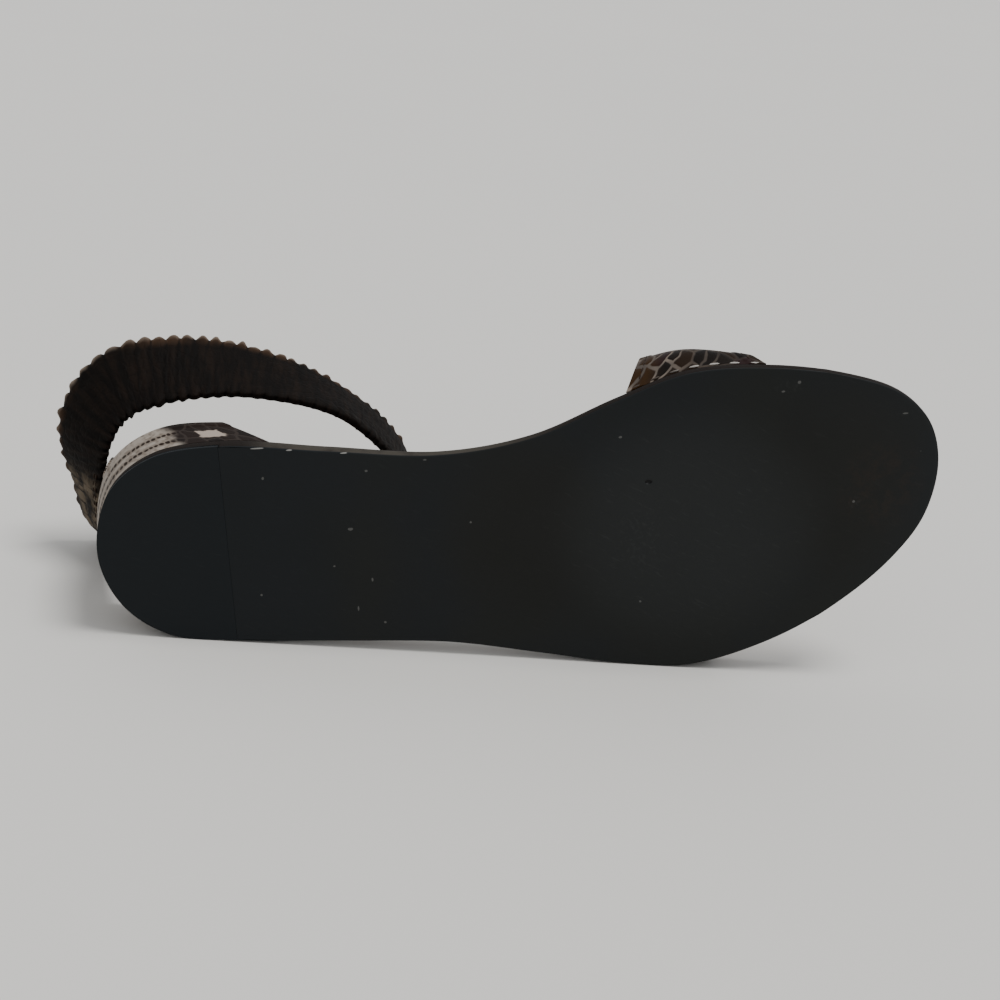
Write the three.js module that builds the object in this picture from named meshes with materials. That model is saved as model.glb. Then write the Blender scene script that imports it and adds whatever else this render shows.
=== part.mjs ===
// Flat sandal for the left foot, lying on its outer side: a thin black outsole with a heel lift,
// a wrapped insole, a wide band over the ball of the foot, a low heel cup and a gathered ankle strap.
// Sizes are in millimetres. The sandal is modelled as it stands: x runs from heel to toe along the
// shoe's axis, y to the outer side of the foot and z up from the ground. It is then laid down.
import * as THREE from 'three';

// Driving sizes
const SOLE_LENGTH = 252;
const OUTSOLE_THICKNESS = 3.6;
const HEEL_LIFT_THICKNESS = 1.5;
const HEEL_LIFT_LENGTH = 38;
const INSOLE_THICKNESS = 4.6;
const TOE_SPRING = 4;
const UPPER_WALL = 2;
const SEAM_GAP = 0.3;
const VAMP_HEIGHT_REAR = 51;
const VAMP_HEIGHT_FRONT = 42;
const HEEL_CUP_HEIGHT = 16;
const HEEL_TAB_HEIGHT = 50;
const STRAP_WIDTH = 26;
const STRAP_THICKNESS = 3;
const GATHER_PITCH = 4.1;
const GATHER_DEPTH = 0.45;

// Outline of the sole: distance from the axis to the inner and outer edge at stations from the heel
const SOLE_STATIONS = [
  { along: 5, inner: 18, outer: 18.3 },
  { along: 18, inner: 28.1, outer: 28.8 },
  { along: 38, inner: 31, outer: 31.9 },
  { along: 70, inner: 27.9, outer: 33.9 },
  { along: 103, inner: 25.1, outer: 36.2 },
  { along: 130, inner: 29, outer: 41.3 },
  { along: 155, inner: 39.2, outer: 46.3 },
  { along: 176, inner: 46.6, outer: 48.1 },
  { along: 200, inner: 47.1, outer: 41.6 },
  { along: 222, inner: 43.5, outer: 29.8 },
  { along: 239, inner: 36.8, outer: 15.9 },
  { along: 248.5, inner: 27, outer: 3 },
];
const HEEL_TIP = { along: -0.5, across: 1.5 };
const TOE_TIP = { along: SOLE_LENGTH, across: -13.5 };

// Side profile of the sole: where the heel seat ends, the sheet gets thin and the toe starts to lift
const HEEL_SEAT_END = 42;
const THIN_START = 116;
const TOE_SPRING_START = 206;

const { clamp, lerp, smoothstep, degToRad } = THREE.MathUtils;

// Collects points and triangles into one closed body with its faces outwards
class Solid {
  constructor() {
    this.points = [];
    this.triangles = [];
    this.known = new Map();
  }

  point(position) {
    const key = position.toArray().map((value) => value.toFixed(4)).join(' ');
    if (!this.known.has(key)) {
      this.known.set(key, this.points.length);
      this.points.push(position.clone());
    }
    return this.known.get(key);
  }

  triangle(first, second, third) {
    const corners = [first, second, third].map((position) => this.point(position));
    if (new Set(corners).size === 3) {
      this.triangles.push(corners);
    }
  }

  quad(first, second, third, fourth) {
    this.triangle(first, second, third);
    this.triangle(first, third, fourth);
  }

  geometry() {
    let volume = 0;
    for (const [first, second, third] of this.triangles) {
      const normal = this.points[second].clone().cross(this.points[third]);
      volume += this.points[first].dot(normal);
    }
    const faces = this.triangles.map((corners) => (volume < 0 ? corners.toReversed() : corners));
    const geometry = new THREE.BufferGeometry();
    const coordinates = this.points.flatMap((position) => position.toArray());
    geometry.setAttribute('position', new THREE.Float32BufferAttribute(coordinates, 3));
    geometry.setIndex(faces.flat());
    geometry.computeVertexNormals();
    return geometry;
  }
}

// Sole outline as one smooth closed curve, then split into an inner and an outer edge
const OUTLINE_SAMPLES = 480;
const outlineCurve = new THREE.CatmullRomCurve3([
  new THREE.Vector3(HEEL_TIP.along, HEEL_TIP.across, 0),
  ...SOLE_STATIONS.map((row) => new THREE.Vector3(row.along, -row.inner, 0)),
  new THREE.Vector3(TOE_TIP.along, TOE_TIP.across, 0),
  ...SOLE_STATIONS.toReversed().map((row) => new THREE.Vector3(row.along, row.outer, 0)),
], true, 'centripetal');

function insetOutline(inset) {
  const samples = [];
  for (let index = 0; index < OUTLINE_SAMPLES; index++) {
    const position = outlineCurve.getPointAt(index / OUTLINE_SAMPLES);
    const tangent = outlineCurve.getTangentAt(index / OUTLINE_SAMPLES);
    position.x -= tangent.y * inset;
    position.y += tangent.x * inset;
    samples.push(position);
  }
  const heel = samples.reduce((best, here, index) => (here.x < samples[best].x ? index : best), 0);
  const fromHeel = [...samples.slice(heel), ...samples.slice(0, heel), samples[heel]];
  const toe = fromHeel.reduce((best, here, index) => (here.x > fromHeel[best].x ? index : best), 0);
  return { innerEdge: fromHeel.slice(0, toe + 1), outerEdge: fromHeel.slice(toe).toReversed() };
}

function acrossAt(edge, along) {
  const next = edge.findIndex((position) => position.x >= along);
  if (next <= 0) {
    return next === 0 ? edge[0].y : edge.at(-1).y;
  }
  const [before, after] = [edge[next - 1], edge[next]];
  return lerp(before.y, after.y, (along - before.x) / (after.x - before.x));
}

// Heights of the sole's faces along the shoe. The heel lift is let into the outsole, flush with it.
const RECESS_END = HEEL_LIFT_LENGTH + SEAM_GAP;
const RECESS_WALL = 0.3;

function toeLift(along) {
  const toeRun = Math.max(0, along - TOE_SPRING_START) / (SOLE_LENGTH - TOE_SPRING_START);
  return TOE_SPRING * toeRun ** 2;
}

function underside(along) {
  const recess = 1 - clamp((along - RECESS_END) / RECESS_WALL, 0, 1);
  return HEEL_LIFT_THICKNESS * recess + toeLift(along);
}

function outsoleTop(along) {
  const heelRise = HEEL_LIFT_THICKNESS * (1 - smoothstep(along, HEEL_SEAT_END, THIN_START));
  return OUTSOLE_THICKNESS + heelRise + toeLift(along);
}

const insoleBase = (along) => outsoleTop(along) + SEAM_GAP;
const insoleTop = (along) => insoleBase(along) + INSOLE_THICKNESS;

// One level of a sole layer: matching points down its inner and outer edge, crowded at both ends. It has
// stations at both sides of the lift's recess, unless the layer ends before it.
const SOLE_STEPS = 44;

function levelRing({ inset, height, end = Infinity }) {
  const { innerEdge, outerEdge } = insetOutline(inset);
  const start = innerEdge[0].x;
  const finish = Math.min(end, innerEdge.at(-1).x);
  const stations = end < RECESS_END ? [] : [RECESS_END, RECESS_END + RECESS_WALL];
  for (let step = 0; step <= SOLE_STEPS; step++) {
    const run = step / SOLE_STEPS;
    const spacing = end === Infinity ? (1 - Math.cos(Math.PI * run)) / 2 : 1 - Math.cos(Math.PI * run / 2);
    stations.push(lerp(start, finish, spacing));
  }
  stations.sort((first, second) => first - second);
  const edgePoints = (edge) => stations.map((along) => {
    return new THREE.Vector3(along, acrossAt(edge, along), height(along));
  });
  return { inner: edgePoints(innerEdge), outer: edgePoints(outerEdge) };
}

// A sole layer: levels from the bottom to the top, closed by a ladder of strips across the foot
function soleLayer(levels) {
  const rings = levels.map(levelRing);
  const solid = new Solid();
  const loops = rings.map((ring) => [...ring.inner, ...ring.outer.toReversed()]);
  for (let level = 0; level + 1 < loops.length; level++) {
    const [lower, upper] = [loops[level], loops[level + 1]];
    lower.forEach((corner, index) => {
      const next = (index + 1) % lower.length;
      solid.quad(corner, lower[next], upper[next], upper[index]);
    });
  }
  const [bottom, top] = [rings[0], rings.at(-1)];
  for (let step = 0; step + 1 < top.inner.length; step++) {
    solid.quad(top.inner[step], top.inner[step + 1], top.outer[step + 1], top.outer[step]);
    solid.quad(bottom.inner[step], bottom.outer[step], bottom.outer[step + 1], bottom.inner[step + 1]);
  }
  return solid.geometry();
}

// Outsole: a thin sheet with its edges broken
const EDGE_BREAK = 0.5;
const outsole = soleLayer([
  { inset: EDGE_BREAK, height: underside },
  { inset: 0, height: (along) => underside(along) + EDGE_BREAK },
  { inset: 0, height: (along) => outsoleTop(along) - EDGE_BREAK },
  { inset: EDGE_BREAK, height: outsoleTop },
]);

// Heel lift: flat on the ground, under the heel seat, with a straight front edge
const LIFT_INSET = 0.3;
const liftTop = HEEL_LIFT_THICKNESS - SEAM_GAP;
const heelLift = soleLayer([
  { inset: LIFT_INSET + EDGE_BREAK, end: HEEL_LIFT_LENGTH, height: () => 0 },
  { inset: LIFT_INSET, end: HEEL_LIFT_LENGTH, height: () => EDGE_BREAK },
  { inset: LIFT_INSET, end: HEEL_LIFT_LENGTH, height: () => liftTop },
]);

// Insole: inside the upper's wall, with a rounded wrapped rim and a shallow dish for the foot
const UPPER_INSET = 0.2;
const INSOLE_INSET = UPPER_INSET + UPPER_WALL + SEAM_GAP;
const RIM_ROUND = 1.4;
const RIM_SHOULDER = 0.3 * RIM_ROUND;
const DISH_REACH = 13;
const DISH_DEPTH = 1;
const insole = soleLayer([
  { inset: INSOLE_INSET + EDGE_BREAK, height: insoleBase },
  { inset: INSOLE_INSET, height: (along) => insoleBase(along) + EDGE_BREAK },
  { inset: INSOLE_INSET, height: (along) => insoleTop(along) - RIM_ROUND },
  { inset: INSOLE_INSET + RIM_SHOULDER, height: (along) => insoleTop(along) - RIM_SHOULDER },
  { inset: INSOLE_INSET + RIM_ROUND, height: insoleTop },
  { inset: INSOLE_INSET + DISH_REACH, height: (along) => insoleTop(along) - DISH_DEPTH },
]);

// The floor that the shoe lies on: the line that touches the outer edge at the heel and at the ball
const { innerEdge: innerSole, outerEdge: outerSole } = insetOutline(0);
const WAIST_STATION = 100;
const PASSES = 12;
let lieTurn = 0;
for (let pass = 0; pass < PASSES; pass++) {
  const reach = (position) => position.y - position.x * Math.tan(lieTurn);
  const furthest = (best, position) => (reach(position) > reach(best) ? position : best);
  const heelTouch = outerSole.filter((position) => position.x < WAIST_STATION).reduce(furthest);
  const ballTouch = outerSole.filter((position) => position.x > WAIST_STATION).reduce(furthest);
  lieTurn = Math.atan2(ballTouch.y - heelTouch.y, ballTouch.x - heelTouch.x);
}
const floorReach = Math.max(...outerSole.map((position) => position.y - position.x * Math.tan(lieTurn)));
const floorLine = (along) => floorReach + along * Math.tan(lieTurn);

function pressedFlat(position) {
  position.y = Math.min(position.y, floorLine(position.x));
  return position;
}

// A wall of even thickness behind a grid of outer points, closed round its four edges
function wallSolid(outer, thickness, inwards) {
  const rows = outer.length;
  const columns = outer[0].length;
  const at = (row, column) => outer[clamp(row, 0, rows - 1)][clamp(column, 0, columns - 1)];
  const inner = outer.map((line, row) => line.map((position, column) => {
    const down = at(row + 1, column).clone().sub(at(row - 1, column));
    const across = at(row, column + 1).clone().sub(at(row, column - 1));
    const normal = down.cross(across).normalize();
    if (normal.dot(inwards(position)) < 0) {
      normal.negate();
    }
    const behind = position.clone().addScaledVector(normal, thickness);
    if (position.onSeam) {
      behind.z = position.z;
    }
    return behind;
  }));
  const solid = new Solid();
  for (let row = 0; row + 1 < rows; row++) {
    const below = row + 1;
    for (let column = 0; column + 1 < columns; column++) {
      const next = column + 1;
      solid.quad(outer[row][column], outer[below][column], outer[below][next], outer[row][next]);
      solid.quad(inner[row][column], inner[row][next], inner[below][next], inner[below][column]);
    }
  }
  for (let row = 0; row + 1 < rows; row++) {
    const last = columns - 1;
    solid.quad(outer[row][0], inner[row][0], inner[row + 1][0], outer[row + 1][0]);
    solid.quad(outer[row][last], outer[row + 1][last], inner[row + 1][last], inner[row][last]);
  }
  for (let column = 0; column + 1 < columns; column++) {
    const last = rows - 1;
    solid.quad(outer[0][column], outer[0][column + 1], inner[0][column + 1], inner[0][column]);
    solid.quad(outer[last][column], inner[last][column], inner[last][column + 1], outer[last][column + 1]);
  }
  return solid.geometry();
}

// Vamp band: where its rear and front edges meet the sole, and its arch over the ball of the foot.
// reach is a share of the sole's half width, rise a share of the band's height. The bulges are how many
// millimetres the rear and the front edge stand out past that reach.
const VAMP_SEATS = {
  outer: { rear: 147, front: 187 },
  inner: { rear: 158, front: 199 },
};
const VAMP_ARCH = [
  { side: 'outer', reach: 1, rise: 0, rearBulge: 0, frontBulge: 0 },
  { side: 'outer', reach: 1, rise: 0.26, rearBulge: 2.5, frontBulge: 2.5 },
  { side: 'outer', reach: 0.86, rise: 0.62, rearBulge: 0, frontBulge: 0 },
  { side: 'outer', reach: 0.48, rise: 0.9, rearBulge: 0, frontBulge: 0 },
  { side: 'inner', reach: 0.06, rise: 1, rearBulge: 0, frontBulge: 0 },
  { side: 'inner', reach: 0.53, rise: 0.91, rearBulge: 4, frontBulge: -3 },
  { side: 'inner', reach: 0.85, rise: 0.64, rearBulge: 6, frontBulge: -3 },
  { side: 'inner', reach: 1, rise: 0.26, rearBulge: 4.5, frontBulge: 0 },
  { side: 'inner', reach: 1, rise: 0, rearBulge: 0, frontBulge: 0 },
];
const VAMP_ROWS = 9;
const VAMP_COLUMNS = 34;
const VAMP_BOW = 9;

function vampSection(width) {
  const seat = (side) => lerp(VAMP_SEATS[side].rear, VAMP_SEATS[side].front, width);
  const edgeReach = {
    outer: acrossAt(outerSole, seat('outer')) - UPPER_INSET,
    inner: acrossAt(innerSole, seat('inner')) + UPPER_INSET,
  };
  const base = outsoleTop(seat('outer')) + SEAM_GAP;
  const height = lerp(VAMP_HEIGHT_REAR, VAMP_HEIGHT_FRONT, width) - base;
  return new THREE.CatmullRomCurve3(VAMP_ARCH.map((row) => {
    const edge = edgeReach[row.side];
    const across = edge * row.reach + Math.sign(edge) * lerp(row.rearBulge, row.frontBulge, width);
    const span = (edgeReach.outer - across) / (edgeReach.outer - edgeReach.inner);
    const bow = VAMP_BOW * (1 - 2 * width) * (1 - (1 - row.rise) ** 2);
    const along = lerp(seat('outer'), seat('inner'), span) + bow;
    return new THREE.Vector3(along, across, base + height * row.rise);
  }), false, 'centripetal');
}

const vampGrid = [];
for (let row = 0; row <= VAMP_ROWS; row++) {
  const section = vampSection(row / VAMP_ROWS);
  const line = section.getSpacedPoints(VAMP_COLUMNS).map(pressedFlat);
  line[0].onSeam = true;
  line.at(-1).onSeam = true;
  vampGrid.push(line);
}
const VAMP_HEART_HEIGHT = 15;
const vampBand = wallSolid(vampGrid, UPPER_WALL, (position) => {
  return new THREE.Vector3(0, -position.y, VAMP_HEART_HEIGHT - position.z);
});

// Heel cup: a low wall on the rim of the outsole round the heel, with a tab up the back. Its front
// edges are cut back as they rise, and the slack leather leans out behind the heel and then turns up.
const CUP_FRONT = 53;
const CUP_SETBACK = 15;
const CUP_WING_DROP = 2;
const CUP_LEAN_BACK = 0.3;
const CUP_LEAN_SIDE = 0.03;
const TAB_HALF_WIDTH = 9;
const TAB_FOOT = 8;
const CUP_ROWS = 8;
const CUP_COLUMNS = 48;
const CUP_CROWDING = 1.6;

// Path round the heel on the sole's edge, from the front of the inner side to the front of the outer side
const heelPath = [
  ...innerSole.filter((position) => position.x <= CUP_FRONT).toReversed(),
  ...outerSole.filter((position) => position.x <= CUP_FRONT).slice(1),
];
const heelCurve = new THREE.CatmullRomCurve3(heelPath, false, 'centripetal');
const heelArc = heelCurve.getLength();
const backArc = heelArc * innerSole.filter((position) => position.x <= CUP_FRONT).length / heelPath.length;

function heelWall(arc, height) {
  const share = clamp((backArc + arc) / heelArc, 0, 1);
  const position = heelCurve.getPointAt(share);
  const tangent = heelCurve.getTangentAt(share);
  const backness = Math.cos(Math.PI / 2 * clamp(Math.abs(arc) / backArc, 0, 1)) ** 2;
  const slope = lerp(CUP_LEAN_SIDE, CUP_LEAN_BACK, backness);
  const lean = slope * HEEL_CUP_HEIGHT * Math.tanh(height / HEEL_CUP_HEIGHT);
  position.addScaledVector(new THREE.Vector3(-tangent.y, tangent.x, 0), lean - UPPER_INSET);
  position.z = outsoleTop(position.x) + SEAM_GAP + height;
  return pressedFlat(position);
}

function cupHeight(arc) {
  const wing = HEEL_CUP_HEIGHT - CUP_WING_DROP * (arc / backArc) ** 2;
  const tab = 1 - smoothstep(Math.abs(arc), TAB_HALF_WIDTH, TAB_HALF_WIDTH + TAB_FOOT);
  return lerp(wing, HEEL_TAB_HEIGHT, tab);
}

const cupGrid = [];
for (let row = 0; row <= CUP_ROWS; row++) {
  const line = [];
  const rise = row / CUP_ROWS;
  for (let column = 0; column <= CUP_COLUMNS; column++) {
    const spread = lerp(-1, 1, column / CUP_COLUMNS);
    const side = Math.sign(spread) * Math.abs(spread) ** CUP_CROWDING;
    const length = side < 0 ? backArc : heelArc - backArc;
    const setback = CUP_SETBACK * rise * side * Math.abs(side);
    const position = heelWall(side * length - setback, rise * cupHeight(side * length));
    position.onSeam = row === 0;
    line.push(position);
  }
  cupGrid.push(line);
}
const HEEL_MIDDLE = 36;
const heelCounter = wallSolid(cupGrid, UPPER_WALL, (position) => {
  return new THREE.Vector3(HEEL_MIDDLE - position.x, -position.y, 0);
});

// Ankle strap: a slack hoop, sewn by its lower edge to the tab and resting its outer side on the floor.
// height is the middle of the strap, flare how many degrees its top edge is turned outwards.
const STRAP_LAP = 10;
const STRAP_STOPS = [
  { along: -11.6, across: -19, height: 55.4, flare: 46 },
  { along: -1.2, across: -32.6, height: 57, flare: 46 },
  { along: 20.4, across: -36.5, height: 60.5, flare: 32 },
  { along: 47.2, across: -32, height: 63.6, flare: 15 },
  { along: 74, across: -18, height: 67, flare: 0 },
  { along: 90, across: 4, height: 69, flare: 0 },
  { along: 87, across: 26, height: 69, flare: 0 },
  { along: 66, across: 33.5, height: 66, flare: 0 },
  { along: 40, across: 30.5, height: 63, flare: 4 },
  { along: 9, across: 25, height: 60, flare: 14 },
  { along: -10.8, across: 16.8, height: 57.6, flare: 24 },
];
const STRAP_BACK_FLARE = 30;
const STRAP_EDGE = 0.3;
const STRAP_STAND_OFF = 0.6;
const backFlare = degToRad(STRAP_BACK_FLARE);
const sewnReach = (STRAP_WIDTH / 2 + GATHER_DEPTH) * Math.sin(backFlare);
const sewnDepth = STRAP_EDGE * (STRAP_THICKNESS + 2 * GATHER_DEPTH) * Math.cos(backFlare);
const strapBack = heelWall(0, HEEL_TAB_HEIGHT - STRAP_LAP);
strapBack.x -= STRAP_STAND_OFF + sewnReach + sewnDepth;
strapBack.z += STRAP_WIDTH / 2 * Math.cos(backFlare);
const strapCurve = new THREE.CatmullRomCurve3([
  strapBack,
  ...STRAP_STOPS.map((stop) => new THREE.Vector3(stop.along, stop.across, stop.height)),
], true, 'centripetal');
const strapFlares = new THREE.CatmullRomCurve3([
  new THREE.Vector3(STRAP_BACK_FLARE, 0, 0),
  ...STRAP_STOPS.map((stop) => new THREE.Vector3(stop.flare, 0, 0)),
], true, 'catmullrom');
const ARC_STEPS = 900;
strapCurve.arcLengthDivisions = ARC_STEPS;

// Strap section: offsets across its width and through its thickness, as shares
const STRAP_SECTION = [
  { width: -0.5, depth: -STRAP_EDGE },
  { width: -0.36, depth: -0.5 },
  { width: 0.36, depth: -0.5 },
  { width: 0.5, depth: -STRAP_EDGE },
  { width: 0.5, depth: STRAP_EDGE },
  { width: 0.36, depth: 0.5 },
  { width: -0.36, depth: 0.5 },
  { width: -0.5, depth: STRAP_EDGE },
];
const gathers = Math.round(strapCurve.getLength() / GATHER_PITCH);
const strapSteps = 2 * gathers;

function strapSection(step) {
  const turn = strapCurve.getUtoTmapping(step / strapSteps);
  const centre = strapCurve.getPoint(turn);
  const tangent = strapCurve.getTangent(turn);
  const outwards = new THREE.Vector3(tangent.y, -tangent.x, 0).normalize();
  const flare = degToRad(strapFlares.getPoint(turn).x);
  const widthways = new THREE.Vector3(0, 0, Math.cos(flare)).addScaledVector(outwards, Math.sin(flare));
  const through = new THREE.Vector3(0, 0, -Math.sin(flare)).addScaledVector(outwards, Math.cos(flare));
  const swell = step % 2 === 0 ? GATHER_DEPTH : -GATHER_DEPTH;
  return STRAP_SECTION.map(({ width, depth }) => {
    const position = centre.clone();
    position.addScaledVector(widthways, width * (STRAP_WIDTH + 2 * swell));
    position.addScaledVector(through, depth * (STRAP_THICKNESS + 2 * swell));
    return pressedFlat(position);
  });
}

function strapRing() {
  const sections = [];
  for (let step = 0; step < strapSteps; step++) {
    sections.push(strapSection(step));
  }
  const solid = new Solid();
  sections.forEach((section, step) => {
    const following = sections[(step + 1) % strapSteps];
    section.forEach((corner, index) => {
      const next = (index + 1) % section.length;
      solid.quad(corner, section[next], following[next], following[index]);
    });
  });
  return solid.geometry();
}
const ankleStrap = strapRing();

// Materials
const finish = (color, roughness) => new THREE.MeshStandardMaterial({ color, roughness, metalness: 0 });
const blackSole = finish(0x1c1d1f, 0.5);
const blackRubber = finish(0x202124, 0.65);
const brownLeather = finish(0x5b3a22, 0.6);
const darkSnake = finish(0x6b5238, 0.5);
const paleSnake = finish(0xb9a58c, 0.5);
const gatheredSnake = finish(0x4a3524, 0.6);

// The sandal as it stands, then laid on its outer side with its sole upright
const sandal = new THREE.Group();
const pieces = [
  ['outsole', outsole, blackSole],
  ['heel_lift', heelLift, blackRubber],
  ['insole', insole, brownLeather],
  ['vamp_band', vampBand, darkSnake],
  ['heel_counter', heelCounter, paleSnake],
  ['ankle_strap', ankleStrap, gatheredSnake],
];
for (const [name, geometry, material] of pieces) {
  const mesh = new THREE.Mesh(geometry, material);
  mesh.name = name;
  sandal.add(mesh);
}
sandal.rotation.set(degToRad(-90), 0, -lieTurn);

// Origin on the floor under the middle of the shoe
const lying = new THREE.Group();
lying.add(sandal);
lying.updateMatrixWorld(true);
const reachBox = new THREE.Box3().setFromObject(lying, true);
const middle = reachBox.getCenter(new THREE.Vector3());
sandal.position.set(-middle.x, -middle.y, -reachBox.min.z);

export default lying;
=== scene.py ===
import math
from bisect import bisect_left

import bmesh
import bpy
from mathutils import Matrix, Quaternion, Vector, geometry, noise


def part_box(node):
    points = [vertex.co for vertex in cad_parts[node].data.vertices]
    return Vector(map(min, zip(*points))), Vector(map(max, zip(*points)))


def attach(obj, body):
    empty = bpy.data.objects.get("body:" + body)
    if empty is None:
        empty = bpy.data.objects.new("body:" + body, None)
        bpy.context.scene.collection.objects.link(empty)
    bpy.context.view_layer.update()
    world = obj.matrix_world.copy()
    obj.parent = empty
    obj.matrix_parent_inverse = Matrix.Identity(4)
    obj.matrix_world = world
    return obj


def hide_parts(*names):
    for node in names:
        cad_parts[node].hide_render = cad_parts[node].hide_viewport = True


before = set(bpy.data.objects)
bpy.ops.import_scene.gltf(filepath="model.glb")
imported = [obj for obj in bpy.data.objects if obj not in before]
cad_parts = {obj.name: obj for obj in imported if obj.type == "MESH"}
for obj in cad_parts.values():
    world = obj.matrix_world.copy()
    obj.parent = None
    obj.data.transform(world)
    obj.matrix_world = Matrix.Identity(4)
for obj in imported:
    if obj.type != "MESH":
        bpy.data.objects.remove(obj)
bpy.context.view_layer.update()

# Outsole: one thin sheet of black rubber, cut to the foot's outline and turned up a little at the toe. Its
# edge is taupe at the waist, dark at heel and toe, and walking has scuffed it at the ball. Like every piece
# it is modelled upright in millimetres (x from heel to toe, y to the outer side, z up), and then laid down.
MM = 0.001
SOLE_LENGTH = 252
OUTSOLE_THICKNESS = 3.6
HEEL_LIFT_THICKNESS = 1.5
HEEL_LIFT_LENGTH = 38
SEAM_GAP = 0.3
RECESS_END = HEEL_LIFT_LENGTH + SEAM_GAP
RECESS_WALL = 0.05
TOE_SPRING = 4
HEEL_SEAT_END = 42
THIN_START = 116
TOE_SPRING_START = 206
EDGE_BREAK = 0.5
HEEL_TIP = Vector((-0.5, 1.5, 0))
TOE_TIP = Vector((SOLE_LENGTH, -13.5, 0))
# distance from the heel, then from the axis to the inner and to the outer edge
SOLE_STATIONS = [
    (5, 18, 18.3),
    (18, 28.1, 28.8),
    (38, 31, 31.9),
    (70, 27.9, 33.9),
    (103, 25.1, 36.2),
    (130, 29, 41.3),
    (155, 39.2, 46.3),
    (176, 46.6, 48.1),
    (200, 47.1, 41.6),
    (222, 43.5, 29.8),
    (239, 36.8, 15.9),
    (248.5, 27, 3),
]


def smooth_line(points, steps, closed=False):
    """Points on a smooth curve through the given ones, with that many steps between each two."""
    if closed:
        run = [points[-1], *points, points[0], points[1]]
    else:
        run = [2 * points[0] - points[1], *points, 2 * points[-1] - points[-2]]
    line = []
    for before, start, end, after in zip(run, run[1:], run[2:], run[3:]):
        first = math.sqrt((start - before).length)
        middle = math.sqrt((end - start).length)
        last = math.sqrt((after - end).length)
        leave = (start - before) / first - (end - before) / (first + middle) + (end - start) / middle
        arrive = (end - start) / middle - (after - start) / (middle + last) + (after - end) / last
        first_handle = start + leave * middle / 3
        last_handle = end - arrive * middle / 3
        line += geometry.interpolate_bezier(start, first_handle, last_handle, end, steps + 1)[:-1]
    if not closed:
        line.append(points[-1])
    return line


def running_lengths(line):
    """How far along a line of points each of them lies."""
    lengths = [0]
    for start, end in zip(line, line[1:]):
        lengths.append(lengths[-1] + (end - start).length)
    return lengths


OUTLINE = smooth_line(
    [
        HEEL_TIP,
        *(Vector((along, -inner, 0)) for along, inner, outer in SOLE_STATIONS),
        TOE_TIP,
        *(Vector((along, outer, 0)) for along, inner, outer in reversed(SOLE_STATIONS)),
    ],
    steps=40,
    closed=True,
)


def sole_edges(inset):
    """The inner and the outer edge of the sole, drawn in by that much, each from heel to toe."""
    drawn = []
    for index, place in enumerate(OUTLINE):
        run = (OUTLINE[(index + 1) % len(OUTLINE)] - OUTLINE[index - 1]).normalized()
        drawn.append(place + inset * Vector((-run.y, run.x, 0)))
    heel = min(range(len(drawn)), key=lambda index: drawn[index].x)
    ring = drawn[heel:] + drawn[: heel + 1]
    toe = max(range(len(ring)), key=lambda index: ring[index].x)
    return ring[: toe + 1], ring[toe:][::-1]


def across_at(edge, along):
    """How far across the shoe an edge of the sole lies, at a distance from the heel."""
    after = min(max(bisect_left(edge, along, key=lambda place: place.x), 1), len(edge) - 1)
    start, end = edge[after - 1], edge[after]
    share = (along - start.x) / max(end.x - start.x, 1e-9)
    return start.y + (end.y - start.y) * min(max(share, 0), 1)


def smoothstep(value, low, high):
    share = min(max((value - low) / (high - low), 0), 1)
    return share * share * (3 - 2 * share)


def toe_lift(along):
    run = max(0, along - TOE_SPRING_START) / (SOLE_LENGTH - TOE_SPRING_START)
    return TOE_SPRING * run**2


def underside(along):
    """Height of the outsole's lower face, which has a recess that the heel lift is let into."""
    recess = 1 - min(max((along - RECESS_END) / RECESS_WALL, 0), 1)
    return HEEL_LIFT_THICKNESS * recess + toe_lift(along)


def outsole_top(along):
    heel_rise = HEEL_LIFT_THICKNESS * (1 - smoothstep(along, HEEL_SEAT_END, THIN_START))
    return OUTSOLE_THICKNESS + heel_rise + toe_lift(along)


# The turn that brings heel and ball of the outer edge down to the floor together, then the way to lie down
LIE_TURN = math.radians(6.946)
inner_sole, outer_sole = sole_edges(0)
floor_reach = max(place.y - place.x * math.tan(LIE_TURN) for place in outer_sole)
on_side = (
    Matrix.Scale(MM, 4) @ Matrix.Rotation(math.radians(-90), 4, "X") @ Matrix.Rotation(-LIE_TURN, 4, "Z")
)
laid_outline = [on_side @ place for place in OUTLINE]
laid_low = Vector(min(place[axis] for place in laid_outline) for axis in range(3))
LAY_DOWN = Matrix.Translation(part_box("outsole")[0] - laid_low) @ on_side


def pressed_flat(place):
    """The place itself, or the floor where it would lie below the floor."""
    return Vector((place.x, min(place.y, floor_reach + place.x * math.tan(LIE_TURN)), place.z))


SHEET_STEPS_ALONG = 150
SHEET_STEPS_ACROSS = 60


def sole_sheet(inset):
    """A flat sheet of faces that fills the sole's outline, drawn in by that much."""
    inner, outer = sole_edges(inset)
    heel, toe = inner[0].x, inner[-1].x
    bm = bmesh.new()
    bmesh.ops.create_grid(bm, x_segments=SHEET_STEPS_ALONG, y_segments=SHEET_STEPS_ACROSS, size=1)
    for vert in bm.verts:
        lengthways = vert.co.x * math.sqrt(1 - vert.co.y**2 / 2)
        sideways = vert.co.y * math.sqrt(1 - vert.co.x**2 / 2)
        along = heel + (toe - heel) * (lengthways + 1) / 2
        reach = math.sqrt(max(0, 1 - lengthways**2))
        share = 0.5 if reach < 1e-5 else min(max(0.5 + 0.5 * sideways / reach, 0), 1)
        from_inner = across_at(inner, along)
        vert.co = (along, from_inner + (across_at(outer, along) - from_inner) * share, 0)
    return bm


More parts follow.
